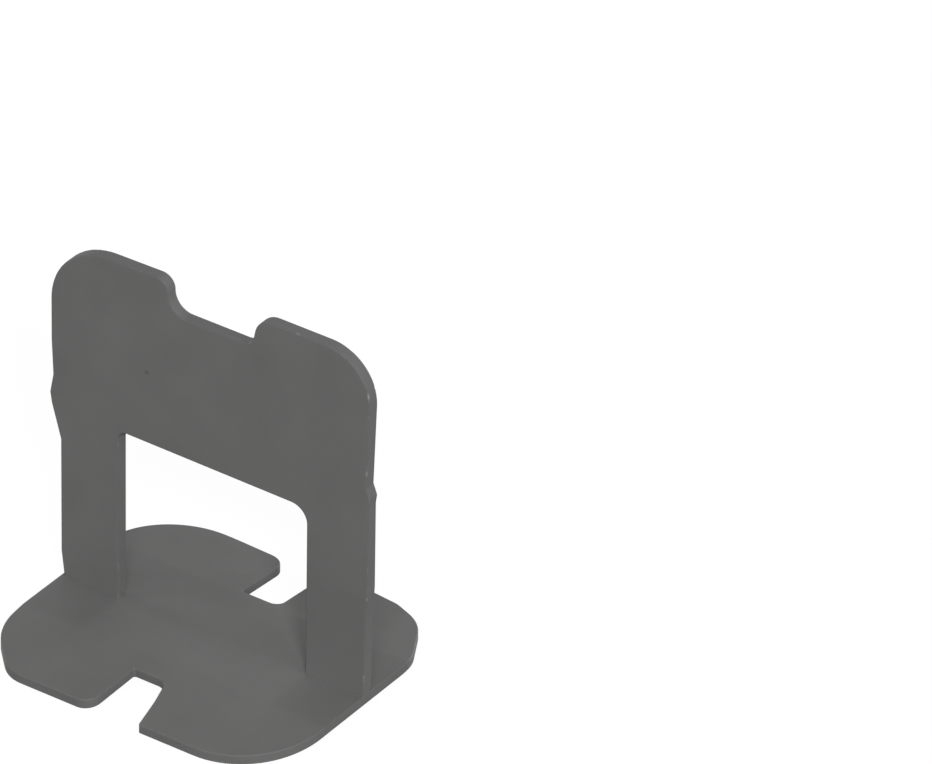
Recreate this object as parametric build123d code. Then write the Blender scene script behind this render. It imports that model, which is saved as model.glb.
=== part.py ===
from build123d import *
import math
import os

# Tile levelling clip, moulded in one piece. Sizes in millimetres.
# X runs along the upright, Y across it and Z up. The origin is on the floor,
# under the middle of the clip's box.

# Base plate
base_width = 40.95           # along X
base_middle = -0.075         # x of its middle, the middle of the window is at 0
base_depth = 35.75           # along Y, without the bulge in the back edge
base_thickness = 1.2
centre_band = 15.5           # flat strip under the upright, along Y
flap_drop = 1.2              # the front and back edges lie this far below the centre band
crease_radius = 6.0          # where the centre band bends into each flap
front_right_radius = 10.5
back_left_radius = 9.0

# Front left corner, cut off at 45 degrees
front_left_cut = 5.3
front_left_end_radius = 7.3  # where the cut meets the left end
front_left_radius = 4.3      # where it meets the front edge

# The back edge dips a little towards the notch and bulges to the right of it
back_dip_start = -10.2       # x
back_dip = 0.35
back_dip_radius = 20.0
back_bulge_x = 8.5           # top of the bulge
back_bulge = 0.5
back_bulge_radius = 3.0

# Back right corner, cut off in two steps
back_right_reach = 9.2       # the first cut starts this far in front of the back edge
back_right_knee_x = 4.2      # the two cuts meet this far from the right end
back_right_knee_y = 1.7      # and this far in front of the back edge
back_right_width = 8.5       # the second cut ends this far from the right end
back_right_lift = 0.12       # and ends this far behind the back edge
back_right_radius = 7.2
back_right_edge_radius = 3.0

# Front notch, open to -Y
front_notch_left = -3.4      # x of its left wall at the inner end
front_notch_width = 4.3      # at the inner end
front_notch_depth = 7.45
front_notch_left_flare = 0.6
front_knee_flare = 0.9       # the right wall bulges slightly into the notch here
front_knee_reach = 4.1       # from the front edge
front_knee_radius = 3.4
front_notch_right_flare = 1.7
front_inner_radius = 1.4
hook_radius = 0.3            # sharp tip at the mouth of the flared wall

# Back notch, open to +Y
back_notch_left = -2.53
back_notch_width = 4.93      # at the inner end
back_notch_depth = 9.35
back_notch_left_flare = 0.3
back_notch_right_taper = 0.25
back_inner_radius = 1.1
back_mouth_radius = 2.3

notch_mouth_radius = 2.0
notch_corner_radius = 0.3

# Upright plate
plate_thickness = 1.5        # sets the joint between two tiles
upright_width = 41.2         # across the outer faces of both legs
upright_height = 43.9        # above the top of the centre band
window_width = 25.35
window_height = 22.0         # above the top of the centre band, at the window's left end
window_sag = 0.22            # lower at its right end by this much
window_left_radius = 1.1
window_right_radius = 2.1

# Left end of the head, from the bottom up. An overhang is measured from the outer
# face of the leg, a rise from the point before it.
left_shoulder_height = 17.9  # the head starts to widen here, above the centre band
left_cheek_rise = 4.3
left_cheek_overhang = 1.24
left_nib_rise = 1.4          # a moulding mark, the widest point
left_nib_overhang = 1.46
left_waist_rise = 2.4
left_waist_overhang = 1.02
left_end_rise = 4.6
left_end_overhang = 1.24

# Right end of the head, measured in the same way
right_shoulder_height = 7.7
right_cheek_rise = 6.5
right_cheek_overhang = 0.31
right_nib_foot_rise = 10.9
right_nib_rise = 1.1
right_nib_overhang = 0.46
right_waist_rise = 1.3
right_waist_inset = 0.04     # here the end lies inside the outer face of the leg
right_end_overhang = 0.52

shoulder_radius = 1.5
nib_radius = 0.6
head_left_radius = 8.0
head_right_radius = 6.0
head_left_drop = 0.1         # the top edge is lower at the left corner by this much
recess_width = 11.9
recess_depth = 3.92
left_lip_rise = 0.15         # the top edge climbs this much towards the recess
left_lip_radius = 1.7
left_floor_radius = 2.3
recess_right_slant = 0.75    # its right wall leans outwards by this much
right_lip_radius = 2.4
right_floor_radius = 1.5

# Feet, where the legs break off
left_neck_inset = 0.4
right_neck_inset = 0.1
neck_height = 3.2
groove_depth = 0.3           # in the back face
groove_half_height = 0.4
groove_lift = 0.5            # middle of the groove above the centre band

edge_round = 0.2             # along the rims of the upright
base_bevel = 0.1             # along the rims of the base
section_overrun = 1.0        # the bent section is drawn this much deeper than the plan
root_depth = 0.6             # how far the legs run down into the base


# Sizes worked out from the ones above
base_top = flap_drop + base_thickness
window_top = base_top + window_height
leg_edge = upright_width / 2
window_edge = window_width / 2
head_top = base_top + upright_height


def outline(corners):
    """Closed outline from (u, v, corner radius) triples."""
    points = [(u, v) for u, v, radius in corners]
    return FilletPolyline(*points, radius=[radius for u, v, radius in corners], close=True)


def base_plan():
    """The base seen from above, with a notch in its front and its back edge."""
    left = base_middle - base_width / 2
    right = base_middle + base_width / 2
    back = base_depth / 2
    front_end = -back + front_notch_depth
    front_notch_right = front_notch_left + front_notch_width
    back_end = back - back_notch_depth
    back_notch_right = back_notch_left + back_notch_width
    notch_mouth = back - back_dip
    return outline([
        (left, -back + front_left_cut, front_left_end_radius),
        (left + front_left_cut, -back, front_left_radius),
        (front_notch_left - front_notch_left_flare, -back, notch_mouth_radius),
        (front_notch_left, front_end, notch_corner_radius),
        (front_notch_right, front_end, front_inner_radius),
        (front_notch_right + front_knee_flare, -back + front_knee_reach, front_knee_radius),
        (front_notch_right + front_notch_right_flare, -back, hook_radius),
        (right, -back, front_right_radius),
        (right, back - back_right_reach, back_right_radius),
        (right - back_right_knee_x, back - back_right_knee_y, back_right_radius),
        (right - back_right_width, back + back_right_lift, back_right_edge_radius),
        (back_bulge_x, back + back_bulge, back_bulge_radius),
        (back_notch_right - back_notch_right_taper, back, notch_mouth_radius),
        (back_notch_right, back_end, back_inner_radius),
        (back_notch_left, back_end, notch_corner_radius),
        (back_notch_left - back_notch_left_flare, notch_mouth, back_mouth_radius),
        (back_dip_start, back, back_dip_radius),
        (left, back, back_left_radius),
    ])


def base_section():
    """The base seen from its end: a flat centre band with a flap sloping down on each side."""
    crease = centre_band / 2
    inner_radius = crease_radius - base_thickness
    slope = flap_drop / (base_depth / 2 - crease)
    edge = base_depth / 2 + section_overrun
    edge_z = -slope * section_overrun
    return outline([
        (-edge, edge_z, 0),
        (-crease, flap_drop, inner_radius),
        (crease, flap_drop, inner_radius),
        (edge, edge_z, 0),
        (edge, edge_z + base_thickness, 0),
        (crease, base_top, crease_radius),
        (-crease, base_top, crease_radius),
        (-edge, edge_z + base_thickness, 0),
    ])


def rim_edges(solid):
    """Edges where an upright side wall meets the top or the underside."""
    walls = [face for face in solid.faces() if abs(face.normal_at().Z) < 0.01]
    rims = ShapeList()
    for wall in walls:
        for edge in wall.edges():
            start = edge.position_at(0)
            end = edge.position_at(1)
            if math.hypot(end.X - start.X, end.Y - start.Y) > 0.01:
                rims.append(edge)
    return rims


def make_base():
    plan = extrude(Plane.XY * make_face(base_plan()), amount=base_top, both=True)
    section = extrude(Plane.YZ * make_face(base_section()), amount=base_width, both=True)
    base = plan & section
    return chamfer(rim_edges(base), base_bevel)


def left_end():
    """Left end of the head, from the leg up to the corner at the top."""
    shoulder = base_top + left_shoulder_height
    cheek = shoulder + left_cheek_rise
    nib = cheek + left_nib_rise
    waist = nib + left_waist_rise
    return [
        (-leg_edge, shoulder, shoulder_radius),
        (-leg_edge - left_cheek_overhang, cheek, shoulder_radius),
        (-leg_edge - left_nib_overhang, nib, nib_radius),
        (-leg_edge - left_waist_overhang, waist, shoulder_radius),
        (-leg_edge - left_end_overhang, waist + left_end_rise, shoulder_radius),
        (-leg_edge - left_end_overhang, head_top - head_left_drop, head_left_radius),
    ]


def right_end():
    """Right end of the head, from the corner at the top down to the leg."""
    shoulder = base_top + right_shoulder_height
    cheek = shoulder + right_cheek_rise
    nib_foot = cheek + right_nib_foot_rise
    nib = nib_foot + right_nib_rise
    return [
        (leg_edge + right_end_overhang, head_top, head_right_radius),
        (leg_edge - right_waist_inset, nib + right_waist_rise, nib_radius),
        (leg_edge + right_nib_overhang, nib, nib_radius),
        (leg_edge + right_cheek_overhang, nib_foot, nib_radius),
        (leg_edge + right_cheek_overhang, cheek, shoulder_radius),
        (leg_edge, shoulder, shoulder_radius),
    ]


def upright_outline():
    """The upright seen from the front: two legs, a window between them and a head with a recess."""
    foot = base_top - root_depth
    neck_top = base_top + neck_height
    recess_left = -recess_width / 2
    recess_right = recess_width / 2
    recess_floor = head_top - recess_depth
    return outline([
        (left_neck_inset - leg_edge, foot, 0),
        (left_neck_inset - leg_edge, base_top, 0),
        (-leg_edge, neck_top, 0),
        *left_end(),
        (recess_left, head_top + left_lip_rise, left_lip_radius),
        (recess_left, recess_floor, left_floor_radius),
        (recess_right - recess_right_slant, recess_floor, right_floor_radius),
        (recess_right, head_top, right_lip_radius),
        *right_end(),
        (leg_edge, neck_top, 0),
        (leg_edge - right_neck_inset, base_top, 0),
        (leg_edge - right_neck_inset, foot, 0),
        (window_edge, foot, 0),
        (window_edge, window_top - window_sag, window_right_radius),
        (-window_edge, window_top, window_left_radius),
        (-window_edge, foot, 0),
    ])


def make_upright():
    plate = extrude(Plane.XZ * make_face(upright_outline()), amount=plate_thickness / 2, both=True)
    rims = plate.edges().filter_by(Axis.Y, reverse=True)
    return fillet(rims, edge_round)


def break_groove():
    """A V across both legs, cut into the back face just above the base."""
    face = plate_thickness / 2
    middle = base_top + groove_lift
    mouth = 2 * groove_half_height
    section = Polyline(
        (face - groove_depth, middle),
        (face + groove_depth, middle - mouth),
        (face + groove_depth, middle + mouth),
        close=True,
    )
    return extrude(Plane.YZ * make_face(section), amount=base_width, both=True)


def make_clip():
    return make_base() + (make_upright() - break_groove())


os.makedirs("parts", exist_ok=True)
# The clip isn't quite symmetric, so it is moved to bring the middle of its box over the origin
clip = make_clip()
box = clip.bounding_box()
clip = Pos(-box.center().X, -box.center().Y, -box.min.Z) * clip
clip.label = "clip"
export_step(clip, "parts/clip.step")
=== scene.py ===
# %% [markdown]
# # A moulded tile levelling clip
#
# The clip comes from the CAD model as one finished solid: a thin upright plate with a window, on a thin notched
# base. This file dresses that solid. It sets up a camera like the photographer's, a pale studio and soft light,
# and a grey plastic with the small marks that moulding leaves. Everything is in metres and Z points up.

import math

import bmesh
import bpy
from mathutils import Matrix, Vector

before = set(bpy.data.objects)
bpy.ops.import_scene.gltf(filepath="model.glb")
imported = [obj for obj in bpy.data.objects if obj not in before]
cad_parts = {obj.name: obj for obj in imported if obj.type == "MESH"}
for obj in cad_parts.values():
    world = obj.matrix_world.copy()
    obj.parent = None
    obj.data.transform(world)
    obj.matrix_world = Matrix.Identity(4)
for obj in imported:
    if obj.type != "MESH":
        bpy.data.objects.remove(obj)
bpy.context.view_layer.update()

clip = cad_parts["clip"]

# %% [markdown]
# ## Camera
#
# Small parts like this one are usually photographed from far away with a long lens, so that their parallel edges
# stay nearly parallel. A camera can be placed by eye, by dragging it about, or from angles. Angles are used here,
# because azimuth, elevation and roll can each be checked against one kind of edge in the picture. The camera's
# three axes are built first, and then the camera is moved back along its own viewing axis.

# %% Camera axes
MM = 0.001

azimuth = math.radians(34.470)
elevation = math.radians(33.095)
roll = math.radians(0.996)

backwards = Vector((
    math.sin(azimuth) * math.cos(elevation),
    -math.cos(azimuth) * math.cos(elevation),
    math.sin(elevation),
))
level_right = Vector((math.cos(azimuth), math.sin(azimuth), 0.0))
level_up = backwards.cross(level_right)
camera_right = math.cos(roll) * level_right + math.sin(roll) * level_up
camera_up = math.cos(roll) * level_up - math.sin(roll) * level_right
print("camera looks along", [round(-v, 3) for v in backwards])

# %% [markdown]
# The clip stands in the left part of a wide picture. The camera isn't turned towards it for that. It slides to the
# right and up on its own axes instead, which keeps the upright's edges from leaning.

# %% Place the camera
distance = 1355.7 * MM
slide_right = 27.62 * MM
slide_up = 29.59 * MM
aim = Vector((0.503 * MM, -0.243 * MM, 0.064 * MM))
lens_mm = 475.3
sensor_width_mm = 36.0
nearest_seen = 0.1
farthest_seen = 20.0

camera_data = bpy.data.cameras.new("camera")
camera_data.lens = lens_mm
camera_data.sensor_width = sensor_width_mm
camera_data.clip_start = nearest_seen
camera_data.clip_end = farthest_seen

camera = bpy.data.objects.new("camera", camera_data)
axes = Matrix((camera_right, camera_up, backwards)).transposed()
location = aim + slide_right * camera_right + slide_up * camera_up + distance * backwards
camera.matrix_world = Matrix.Translation(location) @ axes.to_4x4()
bpy.context.scene.collection.objects.link(camera)
bpy.context.scene.camera = camera
print("camera at", [round(v, 3) for v in location], "with a lens of", lens_mm, "mm")

# %% [markdown]
# ## Stage
#
# The picture has a plain white ground. A floor that is only painted white turns grey under soft light, and turning
# the lamps up until it clips would wash out the clip as well. So the floor glows at white towards the camera, with
# a little of a real white surface mixed in, and that little carries the clip's shadow.
#
# A white floor would also throw light up at the clip from below, but not at the feet, where the dark base is in
# its way. Photographers hold such light back with dark card, and here the floor is dark grey to the light that it
# would scatter. Reflections still show it white. A Light Path node tells these kinds of ray apart.

# %% Helpers for shaders
def new_material(name):
    """A material with nothing in its node tree but the output; returns all three."""
    material = bpy.data.materials.new(name)
    material.use_nodes = True
    tree = material.node_tree
    tree.nodes.clear()
    output = tree.nodes.new("ShaderNodeOutputMaterial")
    return material, tree, output


def add_diffuse(tree, grey):
    """A dull surface of one grey; returns its shader socket."""
    node = tree.nodes.new("ShaderNodeBsdfDiffuse")
    node.inputs["Color"].default_value = (grey, grey, grey, 1.0)
    return node.outputs["BSDF"]


def blend_shaders(tree, factor, first, second):
    """Mixes two shaders by a number or a socket; returns the shader socket."""
    node = tree.nodes.new("ShaderNodeMixShader")
    if isinstance(factor, bpy.types.NodeSocket):
        tree.links.new(factor, node.inputs["Fac"])
    else:
        node.inputs["Fac"].default_value = factor
    tree.links.new(first, node.inputs[1])
    tree.links.new(second, node.inputs[2])
    return node.outputs["Shader"]


# %% Helpers for rays that see white
def add_math(tree, operation, *values):
    """One sum on sockets or plain numbers; returns the result socket."""
    node = tree.nodes.new("ShaderNodeMath")
    node.operation = operation
    for value, socket in zip(values, node.inputs):
        if isinstance(value, bpy.types.NodeSocket):
            tree.links.new(value, socket)
        else:
            socket.default_value = value
    return node.outputs["Value"]


def add_white_rays(tree):
    """1 for the rays that should find a white studio: the camera's, reflected and transmitted ones."""
    rays = tree.nodes.new("ShaderNodeLightPath")
    mirrored = add_math(tree, "MAXIMUM", rays.outputs["Is Glossy Ray"], rays.outputs["Is Transmission Ray"])
    return add_math(tree, "MAXIMUM", rays.outputs["Is Camera Ray"], mirrored)


# %% White floor material
pure_white = (1.0, 1.0, 1.0, 1.0)
floor_glow = 1.01
floor_shadow_share = 0.05    # how much of the shadow on a real white surface is let through
white_paint = 0.86
dark_card = 0.08             # what the floor is to the light that it would scatter

floor_paint, tree, output = new_material("white_floor")
glow = tree.nodes.new("ShaderNodeEmission")
glow.inputs["Color"].default_value = pure_white
glow.inputs["Strength"].default_value = floor_glow
white = blend_shaders(tree, floor_shadow_share, glow.outputs["Emission"], add_diffuse(tree, white_paint))
floor_look = blend_shaders(tree, add_white_rays(tree), add_diffuse(tree, dark_card), white)
tree.links.new(floor_look, output.inputs["Surface"])
print("floor shows", floor_shadow_share, "of its shadow")

# %% Floor
floor_radius = 1.5
floor_sides = 96

mesh = bmesh.new()
bmesh.ops.create_circle(mesh, cap_ends=True, segments=floor_sides, radius=floor_radius)
floor_mesh = bpy.data.meshes.new("floor")
mesh.to_mesh(floor_mesh)
mesh.free()
floor = bpy.data.objects.new("floor", floor_mesh)
floor_mesh.materials.append(floor_paint)
bpy.context.scene.collection.objects.link(floor)
print("floor is", 2 * floor_radius, "m across")

# %% [markdown]
# ## Light
#
# The real clip shows hardly any shading: its faces differ only by a few shades of grey, the base is a little
# lighter than the plate, and the back flap is the lightest. Light from all round would darken the corners at the
# feet, so the walls of the light tent, which are the world here, give only part of the light.

# %% World
tent_level = 0.22            # the light that the walls give
tent_seen_level = 1.0        # how bright they look

world = bpy.data.worlds.new("tent")
world.use_nodes = True
tree = world.node_tree
tree.nodes.clear()
output = tree.nodes.new("ShaderNodeOutputWorld")
walls = tree.nodes.new("ShaderNodeBackground")
walls.inputs["Color"].default_value = pure_white
level = tree.nodes.new("ShaderNodeMapRange")
level.inputs["To Min"].default_value = tent_level
level.inputs["To Max"].default_value = tent_seen_level
tree.links.new(add_white_rays(tree), level.inputs["Value"])
tree.links.new(level.outputs["Result"], walls.inputs["Strength"])
tree.links.new(walls.outputs["Background"], output.inputs["Surface"])
bpy.context.scene.world = world
print("tent walls at", tent_level)

# %% [markdown]
# Most of the light comes from beside the camera, where a lamp throws its shadows behind the things it lights, out
# of the camera's sight. One wide panel in front softens that, and smaller lamps on both sides reach the ends of
# the plate.
#
# The lamps behind and far to the left stand low: they fill the faces that the camera doesn't see, and only graze
# the base, where the back flap gets a little more of them than the rest because it slopes that way. Area lamps are
# used throughout, since a point or a sun would draw hard shadows. So many lamps are easiest to balance by
# rendering each one alone first, because light adds up.

# %% Lamps
lamp_distance = 1.1
clip_middle = Vector((0.0, 0.0, 0.02))


def add_lamp(name, turn, rise, width, watts):
    """A square lamp, turned in degrees from the front to the right and raised in degrees off the floor."""
    data = bpy.data.lights.new(name, "AREA")
    data.shape = "SQUARE"
    data.size = width
    data.energy = watts
    lamp = bpy.data.objects.new(name, data)
    turn = math.radians(turn)
    rise = math.radians(rise)
    towards_lamp = Vector((
        math.sin(turn) * math.cos(rise),
        -math.cos(turn) * math.cos(rise),
        math.sin(rise),
    ))
    lamp.location = clip_middle + lamp_distance * towards_lamp
    lamp.rotation_euler = towards_lamp.to_track_quat("Z", "Y").to_euler()
    bpy.context.scene.collection.objects.link(lamp)


#        name             turn  rise  width  watts
add_lamp("beside_camera",   44,   37,  0.15,   7.3)
add_lamp("above_camera",    30,   42,  0.15,   3.2)
add_lamp("front_panel",      0,   22,  0.60,   2.2)
add_lamp("right_lamp",      78,   18,  0.50,   3.5)
add_lamp("right_low",       70,    9,  0.30,   2.2)
add_lamp("left_lamp",      -55,   25,  0.30,   2.2)
add_lamp("left_low",       -95,    6,  0.20,   3.0)
add_lamp("back_lamp",      182,    6,  0.20,   5.6)
add_lamp("overhead",         0,   90,  0.06,   0.6)

# %% [markdown]
# ## Grey plastic
#
# The clip is a through-coloured grey plastic, satin rather than glossy. One flat colour would look like a render.
# Real mouldings have a faint cloudiness where the melt mixed unevenly, a very fine grain from the mould's steel,
# a slight waviness from shrinking, and here and there a dark fleck. Each of these is one texture on Object
# coordinates, at its real size, so nothing slides or stretches.

# %% Helpers for textures in real sizes
noise_span = (0.3, 0.7)      # nearly all values of a noise lie between these


def add_noise(tree, coordinates, size_mm, detail=2.0, roughness=0.5):
    """Noise whose blotches are about size_mm across; returns its value, from 0 to 1."""
    noise = tree.nodes.new("ShaderNodeTexNoise")
    noise.inputs["Scale"].default_value = 1.0 / (size_mm * MM)
    noise.inputs["Detail"].default_value = detail
    noise.inputs["Roughness"].default_value = roughness
    tree.links.new(coordinates, noise.inputs["Vector"])
    return noise.outputs["Fac"]


def add_range(tree, value, low, high, to_low, to_high, smooth=False):
    """Maps a value from one range to another, clamped at both ends; returns the result socket."""
    node = tree.nodes.new("ShaderNodeMapRange")
    node.interpolation_type = "SMOOTHSTEP" if smooth else "LINEAR"
    node.inputs["From Min"].default_value = low
    node.inputs["From Max"].default_value = high
    node.inputs["To Min"].default_value = to_low
    node.inputs["To Max"].default_value = to_high
    tree.links.new(value, node.inputs["Value"])
    return node.outputs["Result"]


def add_mix(tree, factor, first, second):
    """Mixes two colours, each a socket or a plain colour; returns the result socket."""
    node = tree.nodes.new("ShaderNodeMix")
    node.data_type = "RGBA"
    for value, name in ((factor, "Factor"), (first, "A"), (second, "B")):
        socket = next(s for s in node.inputs if s.name == name and s.enabled)
        if isinstance(value, bpy.types.NodeSocket):
            tree.links.new(value, socket)
        else:
            socket.default_value = value
    return next(s for s in node.outputs if s.enabled)


# %% Cloudy grey
cloud_dark = (0.091, 0.091, 0.090, 1.0)
cloud_light = (0.102, 0.102, 0.101, 1.0)
cloud_size_mm = 9.0

plastic, tree, output = new_material("grey_moulded_plastic")
shader = tree.nodes.new("ShaderNodeBsdfPrincipled")
tree.links.new(shader.outputs["BSDF"], output.inputs["Surface"])
coordinates = tree.nodes.new("ShaderNodeTexCoord")
place = coordinates.outputs["Object"]

clouds = add_range(tree, add_noise(tree, place, cloud_size_mm, detail=3.0), *noise_span, 0.0, 1.0)
cloudy = add_mix(tree, clouds, cloud_dark, cloud_light)
print("plastic colour from", cloud_dark[:3], "to", cloud_light[:3])

# %% [markdown]
# A fleck is a small round spot, and there are only a few. A Voronoi texture gives the distance to the nearest of
# many scattered points, so wherever that distance is very small there is a fleck. Most points lie inside the
# plastic or in the air, which is why so few flecks show.

# %% Dark flecks
fleck_colour = (0.060, 0.060, 0.059, 1.0)
fleck_spacing_mm = 14.0
fleck_core = 0.008           # both as shares of the spacing
fleck_edge = 0.02
fleck_strength = 0.4

cells = tree.nodes.new("ShaderNodeTexVoronoi")
cells.inputs["Scale"].default_value = 1.0 / (fleck_spacing_mm * MM)
tree.links.new(place, cells.inputs["Vector"])
flecks = add_range(tree, cells.outputs["Distance"], fleck_core, fleck_edge, fleck_strength, 0.0, smooth=True)
flecked = add_mix(tree, flecks, cloudy, fleck_colour)
print("flecks up to", round(2 * fleck_edge * fleck_spacing_mm, 2), "mm across")

# %% [markdown]
# One mark is large enough to see in the photograph: a darker smudge of burnt plastic, half a millimetre across, on
# the left of the head. It sits at one place, so it is drawn from the distance to that place.

# %% Dark smudge on the head
smudge_place = (-8.35 * MM, -1.0 * MM, 33.6 * MM)
smudge_colour = (0.068, 0.068, 0.067, 1.0)
smudge_core = 0.12 * MM
smudge_edge = 0.38 * MM

from_smudge = tree.nodes.new("ShaderNodeVectorMath")
from_smudge.operation = "DISTANCE"
tree.links.new(place, from_smudge.inputs[0])
from_smudge.inputs[1].default_value = smudge_place
smudge = add_range(tree, from_smudge.outputs["Value"], smudge_core, smudge_edge, 1.0, 0.0, smooth=True)
marked = add_mix(tree, smudge, flecked, smudge_colour)
print("smudge at", [round(v / MM, 2) for v in smudge_place], "mm")

# %% [markdown]
# The upright's rims are rounded and face the lamps more squarely than the flat faces do, yet they should look no
# brighter. So their colour is darkened, which is painted shade. In a few small spots they are painted pale
# instead: painted glints.
#
# A mask for the rims can be painted by hand, or taken from a Bevel or Pointiness node. Here the shape is simple
# enough to read it off the normal: the plate's flat faces look along Y and all its walls look across Y, so a
# surface that leans between the two must be a rim. On the base the same is asked of Z, because its top looks up
# and its walls look sideways. A noise with a high threshold then leaves a painted glint on the upright's rims here
# and there.

# %% Where the rims are
base_height = 2.5 * MM       # the upright's rims start here
full_height = 2.9 * MM       # and are at full strength from here
# The base's thin rims get half as much painted shade.
base_rim_shade_share = 0.5         # the base's thin rims are darkened half as much


def add_leaning(tree, direction):
    """0 where a surface faces straight along or straight across an axis, 1 where it leans halfway."""
    along = add_math(tree, "MULTIPLY", direction, direction)
    across = add_math(tree, "SUBTRACT", 1.0, along)
    return add_math(tree, "MULTIPLY", 4.0, add_math(tree, "MULTIPLY", along, across))


facing = tree.nodes.new("ShaderNodeSeparateXYZ")
tree.links.new(coordinates.outputs["Normal"], facing.inputs[0])
position = tree.nodes.new("ShaderNodeSeparateXYZ")
tree.links.new(place, position.inputs[0])

above_base = add_range(tree, position.outputs["Z"], base_height, full_height, 0.0, 1.0)
rim = add_math(tree, "MULTIPLY", add_leaning(tree, facing.outputs["Y"]), above_base)
below = add_math(tree, "MULTIPLY", base_rim_shade_share, add_math(tree, "SUBTRACT", 1.0, above_base))
base_rim = add_math(tree, "MULTIPLY", add_leaning(tree, facing.outputs["Z"]), below)
print("upright's rims start at z =", round(base_height / MM, 2), "mm")

# %% Painted shade on rims, with painted glints
# Painted shade: the rims' colour is darker because the lamps light them more than the flat faces.
rim_shade_colour = (0.077, 0.077, 0.076, 1.0)
rim_glint_colour = (0.170, 0.170, 0.168, 1.0)
glint_size_mm = 1.6
glint_from = 0.58              # noise values where the painted glints start
glint_full = 0.68              # and where they are full

rim_shaded = add_mix(tree, add_math(tree, "MAXIMUM", rim, base_rim), marked, rim_shade_colour)
# Painted highlights: pale spots on the upright's rims stand for glints of light.
glint_noise = add_noise(tree, place, glint_size_mm, detail=4.0, roughness=0.6)
rim_glints = add_math(tree, "MULTIPLY", rim, add_range(tree, glint_noise, glint_from, glint_full, 0.0, 1.0))
tree.links.new(add_mix(tree, rim_glints, rim_shaded, rim_glint_colour), shader.inputs["Base Color"])
print("rims", rim_shade_colour[:3], "with spots", rim_glint_colour[:3])

# %% [markdown]
# Satin plastic isn't equally dull everywhere, so its roughness follows a noise of its own. IOR and specular level
# are the same all over, so they are set on the shader itself.

# %% Satin gloss
satin_size_mm = 4.0
satin_low = 0.60
satin_high = 0.70
plastic_ior = 1.49
plastic_specular = 0.2

satin = add_noise(tree, place, satin_size_mm, detail=4.0, roughness=0.6)
tree.links.new(add_range(tree, satin, *noise_span, satin_low, satin_high), shader.inputs["Roughness"])
shader.inputs["IOR"].default_value = plastic_ior
shader.inputs["Specular IOR Level"].default_value = plastic_specular
print("roughness from", satin_low, "to", satin_high)

# %% [markdown]
# The relief is far too low to model: a fine grain a few thousandths of a millimetre high, and under it a broad
# waviness. One Bump node carries both. It is fed with heights in metres, so its own strength and distance stay 1.

# %% Fine relief
grain_size_mm = 0.16
grain_depth = 0.006 * MM
wave_size_mm = 5.0
wave_depth = 0.05 * MM

grain = add_noise(tree, place, grain_size_mm, detail=2.0)
wave = add_noise(tree, place, wave_size_mm, detail=1.0)
grain_height = add_range(tree, grain, 0.0, 1.0, 0.0, grain_depth)
wave_height = add_range(tree, wave, 0.0, 1.0, 0.0, wave_depth)
relief = tree.nodes.new("ShaderNodeBump")
relief.inputs["Strength"].default_value = 1.0
relief.inputs["Distance"].default_value = 1.0
tree.links.new(add_math(tree, "ADD", grain_height, wave_height), relief.inputs["Height"])
tree.links.new(relief.outputs["Normal"], shader.inputs["Normal"])
print("material has", len(tree.nodes), "nodes")

# %% [markdown]
# The clip arrives with a plain material from the CAD model. The finished plastic takes its place.

# %% Give the clip its plastic
for material_slot in clip.material_slots:
    material_slot.material = plastic
print("clip wears", clip.material_slots[0].material.name)

# %% [markdown]
# ## Finish
#
# The Standard view shows each colour as it was written.

# %% Picture settings
bpy.context.scene.view_settings.view_transform = "Standard"
